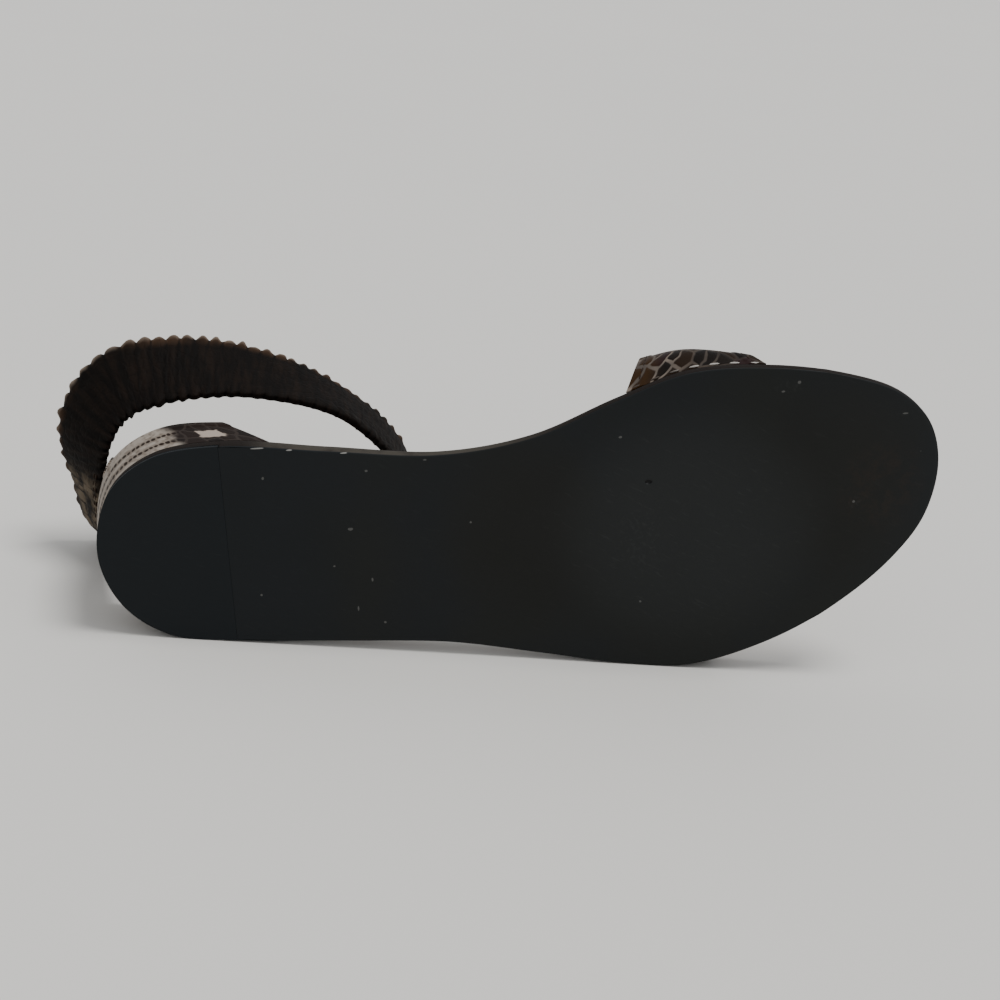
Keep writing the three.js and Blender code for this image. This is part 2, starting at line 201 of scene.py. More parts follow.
def cut_across(bm, along, clear_front=False):
    """Cuts a flat sheet straight across the shoe, and drops what lies before the cut if asked."""
    bmesh.ops.bisect_plane(
        bm,
        geom=bm.verts[:] + bm.edges[:] + bm.faces[:],
        dist=1e-4,
        plane_co=(along, 0, 0),
        plane_no=(1, 0, 0),
        clear_outer=clear_front,
    )


def thickened(bm, bottom, top, rim, segments):
    """Raises a flat sheet into a layer between two heights along the shoe, with its rims rounded."""
    lower = set(bm.faces)
    raised = bmesh.ops.extrude_face_region(bm, geom=bm.faces[:])["geom"]
    upper = {part for part in raised if isinstance(part, bmesh.types.BMFace)}
    upper_verts = {vert for face in upper for vert in face.verts}
    for vert in bm.verts:
        vert.co.z = top(vert.co.x) if vert in upper_verts else bottom(vert.co.x)
    bmesh.ops.recalc_face_normals(bm, faces=bm.faces[:])
    walls = set(bm.faces) - lower - upper
    rims = [edge for edge in bm.edges if len(walls.intersection(edge.link_faces)) == 1]
    bmesh.ops.bevel(
        bm,
        geom=rims,
        offset=rim,
        offset_type="OFFSET",
        segments=segments,
        profile=0.5,
        affect="EDGES",
        material=-1,
    )


def plan_map(bm):
    """A UV map that says how far along and across the shoe each corner lies, in metres."""
    layer = bm.loops.layers.uv.new("shoe")
    for face in bm.faces:
        for loop in face.loops:
            loop[layer].uv = loop.vert.co.xy * MM


SHARP_ANGLE = math.radians(40)


def laid_piece(bm, name, finishes):
    """Lays a mesh that was modelled standing down on the floor, as a piece with those finishes."""
    bmesh.ops.transform(bm, matrix=LAY_DOWN, verts=bm.verts[:])
    mesh = bpy.data.meshes.new(name)
    bm.to_mesh(mesh)
    bm.free()
    mesh.shade_smooth()
    mesh.set_sharp_from_angle(angle=SHARP_ANGLE)
    for finish in finishes:
        mesh.materials.append(finish)
    piece = bpy.data.objects.new(name, mesh)
    bpy.context.scene.collection.objects.link(piece)
    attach(piece, "root")
    return piece


class Signal:
    """An output socket of a material's nodes. Sums and products of signals add Math nodes there."""

    def __init__(self, tree, socket):
        self.tree = tree
        self.socket = socket

    def node(self, kind, settings, sockets, output=0):
        """Adds a node of that kind, with its settings first and then its sockets' values or links."""
        made = self.tree.nodes.new(kind)
        for name, value in settings.items():
            setattr(made, name, value)
        for name, value in sockets.items():
            if isinstance(value, Signal):
                self.tree.links.new(value.socket, made.inputs[name])
            else:
                made.inputs[name].default_value = value
        return Signal(self.tree, made.outputs[output])

    def output(self, name):
        return Signal(self.tree, self.socket.node.outputs[name])

    def math(self, operation, first, second):
        return self.node("ShaderNodeMath", {"operation": operation}, {0: first, 1: second})

    def __add__(self, other):
        return self.math("ADD", self, other)

    def __radd__(self, other):
        return self.math("ADD", other, self)

    def __sub__(self, other):
        return self.math("SUBTRACT", self, other)

    def __rsub__(self, other):
        return self.math("SUBTRACT", other, self)

    def __mul__(self, other):
        return self.math("MULTIPLY", self, other)

    def __rmul__(self, other):
        return self.math("MULTIPLY", other, self)


def new_finish(name, constants):
    """A material with one Principled shader, its even values set, and the coordinates to draw it on."""
    finish = bpy.data.materials.new(name)
    finish.use_nodes = True
    tree = finish.node_tree
    shader = tree.nodes["Principled BSDF"]
    for socket, value in constants.items():
        shader.inputs[socket].default_value = value
    place = Signal(tree, tree.nodes.new("ShaderNodeTexCoord").outputs["Object"])
    plan = place.node("ShaderNodeUVMap", {"uv_map": "shoe"}, {})
    return finish, shader, place, plan


def feed(shader, looks):
    for socket, signal in looks.items():
        signal.tree.links.new(signal.socket, shader.inputs[socket])


def ramp(value, low, high):
    """A soft step from 0 at low to 1 at high."""
    limits = {"Value": value, "From Min": low, "From Max": high}
    return value.node("ShaderNodeMapRange", {"interpolation_type": "SMOOTHSTEP"}, limits)


def cloud(place, scale, detail=3, roughness=0.5):
    """Cloudy noise from 0 to 1, with that many clouds to the metre."""
    sizes = {"Vector": place, "Scale": scale, "Detail": detail, "Roughness": roughness}
    return place.node("ShaderNodeTexNoise", {}, sizes)


def blend(share, first, second):
    """The first colour where share is 0 and the second where it is 1."""
    return share.node("ShaderNodeMix", {"data_type": "RGBA"}, {0: share, 6: first, 7: second}, output=2)


def bumped(height, depth, strength=1.0, over=None):
    """Relief of that depth in metres, on top of another relief if one is given."""
    sockets = {"Height": height, "Distance": depth, "Strength": strength}
    if over is not None:
        sockets["Normal"] = over
    return height.node("ShaderNodeBump", {}, sockets)


def stretched(place, scale, turn=0):
    """Coordinates turned and drawn out by a scale for each way, for marks that run in one direction."""
    return place.node(
        "ShaderNodeMapping",
        {"vector_type": "TEXTURE"},
        {"Vector": place, "Rotation": (0, 0, turn), "Scale": scale},
    )


def specks(place, size, share, radius):
    """Small round dots on a share of the cells of that size, with a radius that is a share of a cell."""
    sizes = {"Vector": place, "Scale": 1 / size, "Randomness": 1.0}
    distance = place.node("ShaderNodeTexVoronoi", {"voronoi_dimensions": "3D"}, sizes)
    chosen = ramp(distance.output("Color"), 1 - share, 1 - share + 0.02)
    return (1 - ramp(distance, radius * 0.6, radius)) * chosen


def both_ways(place):
    """The first and the second of a place's coordinates, in metres."""
    first = place.node("ShaderNodeSeparateXYZ", {}, {0: place})
    return first, first.output("Y")


def spot(plan, centre, reach):
    """A soft oval on the sole: 1 at its centre, 0 past its reach along and across, in millimetres."""
    along, across = both_ways(plan)
    far = (along - centre[0] * MM) * (1 / (reach[0] * MM))
    wide = (across - centre[1] * MM) * (1 / (reach[1] * MM))
    return 1 - ramp(far * far + wide * wide, 0.0, 1.0)


BLUE_BLACK = (0.0082, 0.0098, 0.011, 1)
GREEN_BLACK = (0.0108, 0.0118, 0.0108, 1)
COLD_BLACK = (0.0074, 0.0094, 0.011, 1)
WARM_BLACK = (0.0096, 0.0098, 0.0084, 1)
BALL_BLACK = (0.0142, 0.0158, 0.0158, 1)
PALE_SCUFF = (0.05, 0.052, 0.05, 1)
PALE_GRIT = (0.075, 0.075, 0.071, 1)
PALE_CHIP = (0.24, 0.235, 0.22, 1)
WORN_BROWN = (0.04, 0.021, 0.011, 1)
NICK_BLACK = (0.002, 0.002, 0.002, 1)
# marks on the sole: their middle along and across the shoe, then their reach both ways, and a tone for some
BALL = ((176, 2), (46, 44))
TONED_PARTS = [
    ((38, 0), (44, 70), COLD_BLACK),
    ((126, 0), (30, 40), WARM_BLACK),
    ((222, -10), (30, 44), WARM_BLACK),
]
TOE_WEAR = ((234, -8), (16, 17))
NICK = ((164, -13.5), (1.3, 0.8))
SCUFFS = [((161, 5), (9, 14)), ((226, -3.5), (3.5, 2.5)), ((240.5, -30.5), (3.2, 1)), ((205, -41), (5, 2.5))]
GRIT = [
    ((50.5, -20.4), (0.62, 0.7)),
    ((80.8, -21.2), (0.7, 0.55)),
    ((98.1, -23.8), (0.86, 0.39)),
    ((110.8, -3.3), (0.47, 0.55)),
    ((75, -3), (1.17, 0.78)),
    ((69.4, 8.8), (0.55, 0.47)),
    ((80.5, 13.8), (0.45, 1)),
    ((46.9, 17.1), (0.55, 0.55)),
    ((75.7, 23.2), (0.4, 1.2)),
    ((83.5, 28.2), (0.62, 0.55)),
    ((155.7, -28), (0.78, 0.62)),
    ((161.4, 25.5), (0.55, 0.55)),
    ((208.1, -42.3), (0.78, 0.86)),
    ((203.5, -39.7), (0.86, 0.47)),
    ((225.9, -3.7), (0.7, 0.62)),
    ((240.5, -30.4), (1.4, 0.39)),
]
EDGE_CHIPS = [((49.6, -29.8), (2.6, 0.28)), ((58.8, -28.8), (1.2, 0.28)), ((74.6, -27.1), (1.4, 0.25))]

sole_finish, shader, place, plan = new_finish("sole_sheet", {"Specular IOR Level": 0.16})
tone = ramp(cloud(place, 22, detail=4), 0.35, 0.65)
colour = blend(tone, BLUE_BLACK, GREEN_BLACK)
for centre, reach, shade in TONED_PARTS:
    colour = blend(spot(plan, centre, reach) * 0.8, colour, shade)
walked = spot(plan, *BALL)
colour = blend(walked, colour, BALL_BLACK)
rubbed = ramp(cloud(stretched(plan, (0.006, 0.0012, 1), turn=0.5), 1, detail=5, roughness=0.65), 0.56, 0.74)
scuffed = rubbed * (0.06 + 0.16 * walked)
for centre, reach in SCUFFS:
    scuffed = scuffed + spot(plan, centre, reach) * ramp(cloud(place, 900, detail=4), 0.48, 0.7) * 0.14
colour = blend(scuffed, colour, PALE_SCUFF)
worn = spot(plan, *TOE_WEAR) * ramp(cloud(place, 260, detail=5, roughness=0.65), 0.42, 0.66)
colour = blend(worn * 0.16, colour, WORN_BROWN)
dust = specks(place, size=0.0042, share=0.16, radius=0.06) * ramp(cloud(place, 40), 0.45, 0.6)
colour = blend(dust * 0.5, colour, PALE_GRIT)
for centre, reach in GRIT:
    grit = ramp(spot(plan, centre, reach) * (0.3 + 1.2 * cloud(place, 1300, detail=2)), 0.4, 0.8)
    colour = blend(grit, colour, PALE_GRIT)
for centre, reach in EDGE_CHIPS:
    chip = ramp(spot(plan, centre, reach) * (0.5 + cloud(place, 700)), 0.3, 0.6)
    colour = blend(chip, colour, PALE_CHIP)
nick = spot(plan, *NICK)
colour = blend(ramp(nick, 0.1, 0.5), colour, NICK_BLACK)
grain = cloud(place, 2400, detail=3)
flakes = ramp(cloud(stretched(plan, (0.0045, 0.0016, 1), turn=0.6), 1, detail=6, roughness=0.7), 0.4, 0.62)
relief = bumped(grain, 0.00006, 0.5)
relief = bumped(flakes * walked, 0.00012, 0.6, relief)
relief = bumped(1 - nick, 0.0006, 1.0, relief)
gloss = 0.6 - 0.16 * walked + 0.1 * (tone - 0.5) + 0.15 * scuffed
feed(shader, {"Base Color": colour, "Roughness": gloss, "Normal": relief})

EDGE_TAUPE = (0.05, 0.044, 0.036, 1)
EDGE_BROWN = (0.013, 0.0098, 0.0082, 1)
# how far from the heel the taupe edge starts and ends; towards heel and toe the edge is dark brown
TAUPE_SPAN = (44, 58, 108, 146)
# faces that look up or down less than this belong to the edge
EDGE_FACING = 0.5
edge_finish, shader, place, plan = new_finish("sole_edge", {"Specular IOR Level": 0.06, "Roughness": 0.7})
start, full, fade, end = (reach * MM for reach in TAUPE_SPAN)
from_heel = both_ways(plan)[0]
taupe_share = ramp(from_heel, start, full) * (1 - ramp(from_heel, fade, end))
taupe_share = taupe_share * ramp(cloud(place, 70, detail=5, roughness=0.6), 0.25, 0.5)
colour = blend(taupe_share, EDGE_BROWN, EDGE_TAUPE)
feed(shader, {"Base Color": colour, "Normal": bumped(cloud(place, 1200), 0.0002, 0.5)})

bm = sole_sheet(0)
for cut in (RECESS_END, RECESS_END + RECESS_WALL):
    cut_across(bm, cut)
thickened(bm, underside, outsole_top, EDGE_BREAK, segments=3)
for face in bm.faces:
    face.normal_update()
    face.material_index = 1 if abs(face.normal.z) < EDGE_FACING else 0
plan_map(bm)
outsole = laid_piece(bm, "sole_sheet", [sole_finish, edge_finish])
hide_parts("outsole")

# Heel lift: a thin top piece of hard black rubber, let into the outsole under the heel and flush with it.
# Its front edge is cut straight across the shoe, so all that shows of it is a hairline and a bluer tone.
LIFT_INSET = 0.1
LIFT_JOINT = 0.02
LIFT_RIM = 0.04
LIFT_GREY = (0.0074, 0.0098, 0.0116, 1)
LIFT_BLACK = (0.006, 0.008, 0.0096, 1)

lift_finish, shader, place, plan = new_finish("lift_rubber", {"Specular IOR Level": 0.16})
tone = cloud(place, 30, detail=4)
colour = blend(tone, LIFT_BLACK, LIFT_GREY)
scratches = ramp(cloud(stretched(plan, (0.008, 0.0007, 1), turn=0.3), 1, detail=4), 0.6, 0.78)
colour = blend(scratches * 0.1, colour, PALE_SCUFF)
colour = blend(specks(place, size=0.006, share=0.06, radius=0.05) * 0.5, colour, PALE_GRIT)
relief = bumped(cloud(place, 3000, detail=2), 0.00004, 0.5)
feed(shader, {"Base Color": colour, "Roughness": 0.56 + 0.1 * tone, "Normal": relief})

bm = sole_sheet(LIFT_INSET)
cut_across(bm, RECESS_END - LIFT_JOINT, clear_front=True)
thickened(bm, lambda along: 0, lambda along: HEEL_LIFT_THICKNESS - SEAM_GAP, LIFT_RIM, segments=2)
plan_map(bm)
heel_lift = laid_piece(bm, "heel_lift_rubber", [lift_finish])
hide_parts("heel_lift")

# Insole: a springy board wrapped in smooth brown leather, on the outsole and inside the upper's walls. The
# wrap rounds its rim, its middle is dished, and the foot has darkened it under heel, ball and toes.
INSOLE_THICKNESS = 4.6
INSOLE_INSET = 2.5
RIM_ROUND = 1.4
DISH_DEPTH = 1
DISH_REACH = 13
INSOLE_TAN = (0.23, 0.125, 0.062, 1)
INSOLE_BROWN = (0.15, 0.075, 0.035, 1)
FOOT_DARK = (0.062, 0.03, 0.015, 1)
# dark marks of the foot: their middle along and across the shoe, then their reach both ways
FOOT_MARKS = [((30, 0), (30, 24)), ((168, 0), (34, 40)), ((226, -20), (20, 19)), ((217, 7), (20, 19))]

insole_finish, shader, place, plan = new_finish("insole_leather", {"Specular IOR Level": 0.4})
colour = blend(cloud(place, 60, detail=5, roughness=0.6), INSOLE_BROWN, INSOLE_TAN)
trodden = spot(plan, *FOOT_MARKS[0])
for centre, reach in FOOT_MARKS[1:]:
    trodden = trodden + spot(plan, centre, reach)
trodden = ramp(trodden * (0.6 + 0.7 * cloud(place, 130, detail=4)), 0.1, 1.0)
colour = blend(trodden * 0.5, colour, FOOT_DARK)
pores = place.node("ShaderNodeTexVoronoi", {}, {"Vector": place, "Scale": 900.0})
relief = bumped(pores, 0.00008, 0.5)
relief = bumped(cloud(place, 220, detail=4), 0.0002, 0.3, relief)
feed(shader, {"Base Color": colour, "Roughness": 0.5 - 0.12 * trodden, "Normal": relief})


def insole_base(along):
    return outsole_top(along) + SEAM_GAP


def insole_top(along):
    return insole_base(along) + INSOLE_THICKNESS


bm = sole_sheet(INSOLE_INSET)
thickened(bm, insole_base, insole_top, RIM_ROUND, segments=5)
insole_edges = sole_edges(INSOLE_INSET)
for vert in bm.verts:
    from_edge = min(abs(vert.co.y - across_at(edge, vert.co.x)) for edge in insole_edges)
    from_ends = min(vert.co.x - insole_edges[0][0].x, insole_edges[0][-1].x - vert.co.x)
    if vert.co.z > insole_top(vert.co.x) - RIM_ROUND / 3:
        vert.co.z -= DISH_DEPTH * smoothstep(min(from_edge, from_ends), RIM_ROUND, DISH_REACH)
plan_map(bm)
insole = laid_piece(bm, "insole_board", [insole_finish])
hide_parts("insole")

# Vamp band: one wide strap of printed snake leather over the ball of the foot, lined with tan leather. Its
# long edges are turned under and sewn down, and its feet stand on the outsole's rim beside the insole.
UPPER_WALL = 2
UPPER_INSET = 0.2
VAMP_HEIGHT_REAR = 51
VAMP_HEIGHT_FRONT = 42
VAMP_BOW = 9
VAMP_SEATS = {"outer": (147, 187), "inner": (158, 199)}
# side of the foot, shares of the sole's half width and of the band's height, bulges of rear and front edge
VAMP_ARCH = [
    ("outer", 1, 0, 0, 0),
    ("outer", 1, 0.26, 2.5, 2.5),
    ("outer", 0.86, 0.62, 0, 0),
    ("outer", 0.48, 0.9, 0, 0),
    ("inner", 0.06, 1, 0, 0),
    ("inner", 0.53, 0.91, 4, -3),
    ("inner", 0.85, 0.64, 6, -3),
    ("inner", 1, 0.26, 4.5, 0),
    ("inner", 1, 0, 0, 0),
]
ARCH_STEPS = 24
VAMP_COLUMNS = 170
VAMP_ROWS = 64
BAND_ARC = 160
BAND_WIDTH = 41
HEM_WIDTH = 4.6
HEM_RISE = 0.3
HEM_STEP = 1
STITCH_LINE = 3
STITCH_SINK = 0.25
SINK_HALF_WIDTH = 0.8
# soft creases over the foot: share of the band's width, shares of the arch where each starts and ends, depth
VAMP_CREASES = [(0.3, 0.12, 0.42, 0.45), (0.58, 0.55, 0.9, 0.5), (0.74, 0.6, 0.86, 0.35)]
CREASE_HALF_WIDTH = 0.05
CREASE_END = 0.1
WALL_EDGE = 0.5
WALL_EDGE_ANGLE = math.radians(50)


def spaced(line, count):
    """That many even steps along a line of points."""
    run = running_lengths(line)
    places = []
    for step in range(count + 1):
        reach = run[-1] * step / count
        after = min(max(bisect_left(run, reach), 1), len(line) - 1)
        share = (reach - run[after - 1]) / max(run[after] - run[after - 1], 1e-9)
        places.append(line[after - 1].lerp(line[after], min(share, 1)))
    return places


def vamp_section(width):
    """The band's arch over the foot, at a share of its width from the rear edge to the front edge."""
    seats = {side: rear + (front - rear) * width for side, (rear, front) in VAMP_SEATS.items()}
    edges = {
        "outer": across_at(outer_sole, seats["outer"]) - UPPER_INSET,
        "inner": across_at(inner_sole, seats["inner"]) + UPPER_INSET,
    }
    base = outsole_top(seats["outer"]) + SEAM_GAP
    height = VAMP_HEIGHT_REAR + (VAMP_HEIGHT_FRONT - VAMP_HEIGHT_REAR) * width - base
    stops = []
    for side, reach, rise, rear_bulge, front_bulge in VAMP_ARCH:
        bulge = rear_bulge + (front_bulge - rear_bulge) * width
        across = edges[side] * reach + math.copysign(1, edges[side]) * bulge
        span = (edges["outer"] - across) / (edges["outer"] - edges["inner"])
        along = seats["outer"] + (seats["inner"] - seats["outer"]) * span
        bow = VAMP_BOW * (1 - 2 * width) * (1 - (1 - rise) ** 2)
        stops.append(Vector((along + bow, across, base + height * rise)))
    return [pressed_flat(place) for place in spaced(smooth_line(stops, ARCH_STEPS), VAMP_COLUMNS)]


def crowded(share):
    """Shares of the band's width that lie closer together towards its two edges."""
    return 0.5 * share + 0.25 * (1 - math.cos(math.pi * share))


def band_relief(arch, width):
    """Height of the turned hem, the sunk seam and the soft creases over the plain band."""
    from_edge = BAND_WIDTH * min(width, 1 - width)
    height = HEM_RISE * (1 - smoothstep(from_edge, HEM_WIDTH, HEM_WIDTH + HEM_STEP))
    height -= STITCH_SINK * max(0, 1 - abs(from_edge - STITCH_LINE) / SINK_HALF_WIDTH) ** 2
    for crease, start, end, depth in VAMP_CREASES:
        fade = smoothstep(arch, start, start + CREASE_END) * (1 - smoothstep(arch, end - CREASE_END, end))
        height -= depth * fade * max(0, 1 - abs(width - crease) / CREASE_HALF_WIDTH) ** 2
    return height


def charted_grid(columns, rows, surface, chart):
    """A grid of faces on a surface of columns and rows, with a UV map from a chart of them in millimetres.

    With it comes the column and the row of each of its corners.
    """
    bm = bmesh.new()
    bmesh.ops.create_grid(bm, x_segments=columns, y_segments=rows, size=0.5)
    layer = bm.loops.layers.uv.new("shoe")
    corners = {}
    for vert in bm.verts:
        corners[vert] = (round((vert.co.x + 0.5) * columns), round((vert.co.y + 0.5) * rows))
    for face in bm.faces:
        for loop in face.loops:
            loop[layer].uv = Vector(chart(*corners[loop.vert])) * MM
    for vert, (column, row) in corners.items():
        vert.co = surface(column, row)
    bm.normal_update()
    return bm, corners


def faces_outwards(bm, heart):
    """Turns an open wall's faces away from the middle of the shoe."""
    face = bm.faces[:][len(bm.faces) // 2]
    if face.normal.dot(face.calc_center_median() - heart) < 0:
        bmesh.ops.reverse_faces(bm, faces=bm.faces[:])
        bm.normal_update()


def walled(piece, thickness, lining):
    """Gives an open wall its thickness inwards, a lining behind it and rounded edges."""
    wall = piece.modifiers.new("wall", "SOLIDIFY")
    wall.thickness = thickness * MM
    wall.offset = -1
    wall.material_offset = lining
    edges = piece.modifiers.new("edges", "BEVEL")
    edges.width = WALL_EDGE * MM
    edges.segments = 3
    edges.limit_method = "ANGLE"
    edges.angle_limit = WALL_EDGE_ANGLE


# the scale and net colours are the band's own dark brown print and beige net, darkened by about half as
# painted shade over the band
SCALE_DARK = (0.0066, 0.0046, 0.0034, 1)
SCALE_BROWN = (0.016, 0.0088, 0.0045, 1)
SCALE_RED = (0.016, 0.0066, 0.006, 1)
SCALE_RUST = (0.034, 0.0155, 0.0042, 1)
NET_BEIGE = (0.2, 0.162, 0.132, 1)
NET_GREY = (0.075, 0.062, 0.052, 1)
LINING_TAN = (0.2, 0.105, 0.05, 1)
LINING_BROWN = (0.12, 0.056, 0.025, 1)


def snake_scales(plan, cell, turn, uneven):
    """Rows of oval scales on a UV map: the way in from each scale's edge, and a tone for each scale."""
    drift = plan.node("ShaderNodeTexNoise", {}, {"Vector": plan, "Scale": 90.0, "Detail": 2.0}, output=1)
    centred = plan.node("ShaderNodeVectorMath", {"operation": "SUBTRACT"}, {0: drift, 1: (0.5, 0.5, 0.5)})
    shift = plan.node("ShaderNodeVectorMath", {"operation": "SCALE"}, {0: centred, "Scale": 0.006})
    moved = plan.node("ShaderNodeVectorMath", {"operation": "ADD"}, {0: plan, 1: shift})
    rows = stretched(moved, (cell[0] * MM, cell[1] * MM, 1), turn)
    sizes = {"Vector": rows, "Scale": 1.0, "Randomness": uneven}
    flat = {"voronoi_dimensions": "2D"}
    inwards = plan.node("ShaderNodeTexVoronoi", {**flat, "feature": "DISTANCE_TO_EDGE"}, sizes)
    shade = plan.node("ShaderNodeTexVoronoi", {**flat, "feature": "F1"}, sizes, output=1)
    tone = plan.node("ShaderNodeSeparateColor", {}, {0: shade})
    return inwards, tone


VAMP_CELL = (10, 4.7)
VAMP_SLANT = math.radians(-22)
# how far from the rear edge, in metres, the rusty tone and the stronger net reach
RUST_REACH = (0.004, 0.011)
NET_REACH = (0.014, 0.026)

band_finish, shader, place, plan = new_finish("band_leather", {"Specular IOR Level": 0.05})
inwards, tone = snake_scales(plan, VAMP_CELL, VAMP_SLANT, uneven=0.85)
from_rear = both_ways(plan)[1]
rear = 1 - ramp(from_rear + 0.01 * cloud(plan, 60), *NET_REACH)
colour = blend(ramp(tone, 0.35, 0.75), SCALE_DARK, SCALE_BROWN)
colour = blend(ramp(tone.output("Green"), 0.75, 0.9), colour, SCALE_RED)
colour = blend((1 - ramp(from_rear, *RUST_REACH)) * 0.8, colour, SCALE_RUST)
net = 1 - ramp(inwards + 0.05 * (cloud(plan, 500) - 0.5), 0.05, 0.12)
net = net * ramp(cloud(plan, 55, detail=2), 0.26, 0.4) * (0.25 + 0.75 * rear)
net_colour = blend(ramp(cloud(plan, 70, detail=3), 0.38, 0.62), NET_GREY, NET_BEIGE)
colour = blend(net, colour, net_colour)
fine = cloud(place, 1800, detail=3)
colour = blend(ramp(fine, 0.62, 0.8) * 0.12, colour, NET_GREY)
relief = bumped(ramp(inwards, 0.03, 0.22), 0.00025, 0.7)
relief = bumped(fine, 0.00008, 0.4, relief)
feed(shader, {"Base Color": colour, "Roughness": 0.5 + 0.16 * net, "Normal": relief})

lining_finish, shader, place, _ = new_finish(
    "lining_leather",
    {"Specular IOR Level": 0.35, "Roughness": 0.62},
)
colour = blend(cloud(place, 90, detail=5, roughness=0.6), LINING_BROWN, LINING_TAN)
pores = place.node("ShaderNodeTexVoronoi", {}, {"Vector": place, "Scale": 1100.0})
feed(shader, {"Base Color": colour, "Normal": bumped(pores, 0.00008, 0.5)})

vamp_widths = [crowded(row / VAMP_ROWS) for row in range(VAMP_ROWS + 1)]
vamp_lines = [vamp_section(width) for width in vamp_widths]
VAMP_HEART = Vector((170, 0, 15))
bm, corners = charted_grid(
    VAMP_COLUMNS,
    VAMP_ROWS,
    surface=lambda column, row: vamp_lines[row][column],
    chart=lambda column, row: (BAND_ARC * column / VAMP_COLUMNS, BAND_WIDTH * vamp_widths[row]),
)
faces_outwards(bm, VAMP_HEART)
for vert, (column, row) in corners.items():
    height = band_relief(column / VAMP_COLUMNS, vamp_widths[row])
    vert.co = pressed_flat(vert.co + vert.normal * height)
vamp_band = laid_piece(bm, "vamp_strap", [band_finish, lining_finish])
walled(vamp_band, UPPER_WALL, lining=1)
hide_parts("vamp_band")

# Stitches of the band: hem seams in dark thread along both of its long edges, and a pale row that pierces
# each of its feet at the sole's edge. Every stitch is a small oval, half sunk in the leather.
HEM_THREAD = (0.022, 0.012, 0.007, 1)
SOILED_THREAD = (0.07, 0.055, 0.045, 1)
FOOT_THREAD = (0.5, 0.47, 0.43, 1)
THREAD_THICK = 0.55
HEM_PITCH = 3.4
HEM_STITCH = HEM_PITCH * 0.72
FOOT_PITCH = 5.6
FOOT_STITCH = 3
FOOT_HEIGHT = 0.8
FOOT_THREAD_THICK = THREAD_THICK * 1.15
# where soiled thread turns into clean thread, in metres from the sandal's middle towards the toe
SOIL_FADE = (0.05, 0.062)


def sew(bm, line, heart, pitch, length, thick):
    """A row of stitches along a line of places on a wall, each a small oval half sunk on its outer face."""
    count = round(running_lengths(line)[-1] / pitch)
    stops = spaced(line, 2 * count)
    for before, middle, after in zip(stops[::2], stops[1::2], stops[2::2]):
        turn = (after - before).to_track_quat("X", "Z").to_matrix().to_4x4()
        size = Matrix.Diagonal((length / 2, thick / 2, thick / 2, 1))
        centre = middle + (middle - heart).normalized() * thick / 4
        bmesh.ops.create_uvsphere(
            bm,
            u_segments=8,
            v_segments=6,
            radius=1,
            matrix=Matrix.Translation(pressed_flat(centre)) @ turn @ size,
        )


def thread_finish(name, soiled, clean):
    """Waxed thread with a fine relief, soiled towards the heel and clean towards the toe."""
    finish, shader, place, _ = new_finish(name, {"Roughness": 0.6, "Specular IOR Level": 0.1})
    towards_toe = both_ways(place)[0]
    colour = blend(ramp(towards_toe, *SOIL_FADE), soiled, clean)
    feed(shader, {"Base Color": colour, "Normal": bumped(cloud(place, 3500, detail=2), 0.0001, 0.6)})
    return finish


hem_thread = thread_finish("hem_thread", HEM_THREAD, HEM_THREAD)
bm = bmesh.new()
for width in (STITCH_LINE / BAND_WIDTH, 1 - STITCH_LINE / BAND_WIDTH):
    sew(bm, vamp_section(width), VAMP_HEART, HEM_PITCH, HEM_STITCH, THREAD_THICK)
laid_piece(bm, "hem_stitches", [hem_thread])

foot_thread = thread_finish("foot_thread", SOILED_THREAD, FOOT_THREAD)
foot_column = round(VAMP_COLUMNS * FOOT_HEIGHT / BAND_ARC)
bm = bmesh.new()
for column in (foot_column, VAMP_COLUMNS - foot_column):
    foot = [line[column] for line in vamp_lines]
    sew(bm, foot, VAMP_HEART, FOOT_PITCH, FOOT_STITCH, FOOT_THREAD_THICK)
laid_piece(bm, "foot_stitches", [foot_thread])

# Heel cup: a low wall of pale snake leather round the heel, on the outsole's rim, with a tab up the back that
# carries the ankle strap. Its dark wings are cut back at a slope in front, and its rim is turned under.
HEEL_CUP_HEIGHT = 16
HEEL_TAB_HEIGHT = 50
CUP_FRONT = 53
CUP_SETBACK = 15
CUP_WING_DROP = 2
CUP_LEAN_BACK = 0.3
CUP_LEAN_SIDE = 0.03
CUP_CROWDING = 1.6
TAB_HALF_WIDTH = 9
TAB_FOOT = 8
CUP_COLUMNS = 220
CUP_ROWS = 34
CUP_RIM = 2.2
CUP_RIM_RISE = 0.35
CUP_RIM_STEP = 0.8

inner_heel = [place for place in inner_sole if place.x <= CUP_FRONT]
outer_heel = [place for place in outer_sole if place.x <= CUP_FRONT]
HEEL_PATH_STEPS = 600
heel_path = spaced(inner_heel[::-1] + outer_heel[1:], HEEL_PATH_STEPS)
back_arc = running_lengths(inner_heel)[-1]
heel_arc = back_arc + running_lengths(outer_heel)[-1]


def heel_wall(arc, height):
    """A place on the heel's wall, that far round from the back's middle and that high over the outsole."""
    share = min(max((back_arc + arc) / heel_arc, 0), 1) * HEEL_PATH_STEPS
    step = min(max(round(share), 1), HEEL_PATH_STEPS - 1)
    start = min(int(share), HEEL_PATH_STEPS - 1)
    place = heel_path[start].lerp(heel_path[start + 1], share - start)
    run = (heel_path[step + 1] - heel_path[step - 1]).normalized()
    backness = math.cos(math.pi / 2 * min(abs(arc) / back_arc, 1)) ** 2
    slope = CUP_LEAN_SIDE + (CUP_LEAN_BACK - CUP_LEAN_SIDE) * backness
    lean = slope * HEEL_CUP_HEIGHT * math.tanh(height / HEEL_CUP_HEIGHT)
    place = place + Vector((-run.y, run.x, 0)) * (lean - UPPER_INSET)
    place.z = outsole_top(place.x) + SEAM_GAP + height
    return pressed_flat(place)


